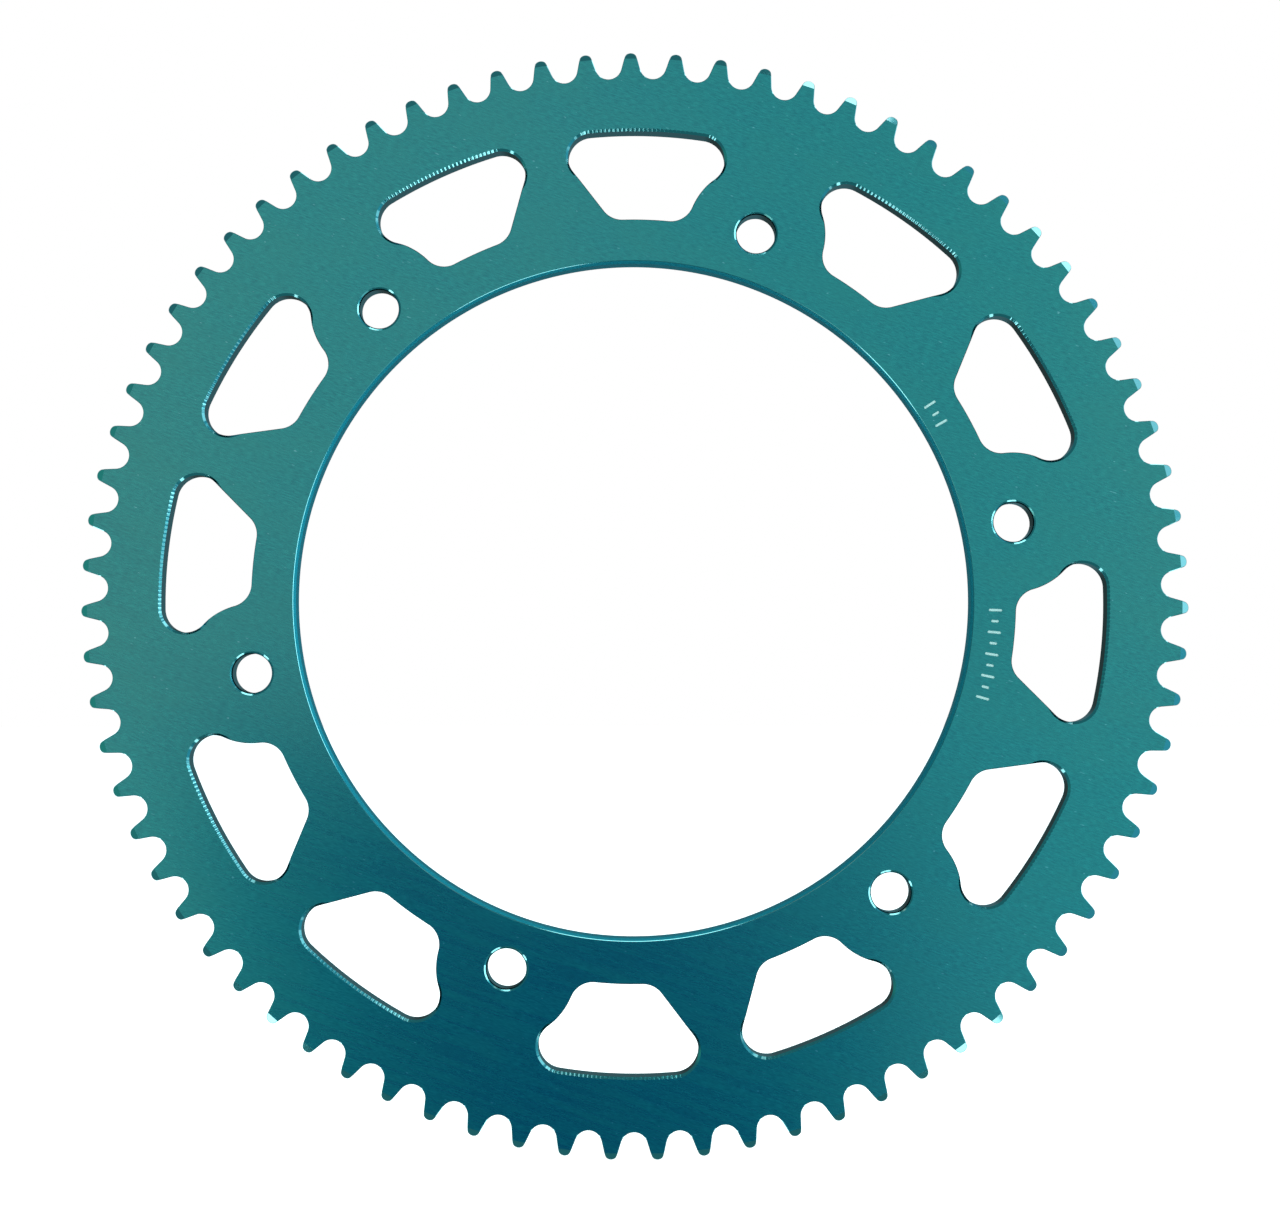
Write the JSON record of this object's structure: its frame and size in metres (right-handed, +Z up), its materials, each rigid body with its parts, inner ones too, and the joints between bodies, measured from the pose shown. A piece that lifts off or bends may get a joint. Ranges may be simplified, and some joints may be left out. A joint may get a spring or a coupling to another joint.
{
  "type": "rear sprocket",
  "caption": "Flat one-piece rear sprocket for a fine-pitch roller chain: a thin toothed ring with a large pilot bore, a circle of bolt holes and lightening slots.",
  "frame": {"origin": "centre of the pilot bore, halfway through the plate", "axes": "+Y along the spin axis, from the front face to the back face; +Z up; +X to the right as seen from the front, which looks along -Y"},
  "size_m": [0.1906, 0.0044, 0.1907],
  "materials": {
    "teal_anodise": "satin anodised, with a fine straight grain"
  },
  "bodies": {
    "root": {"sprocket_plate": "teal_anodise"}
  },
  "joints": []
}
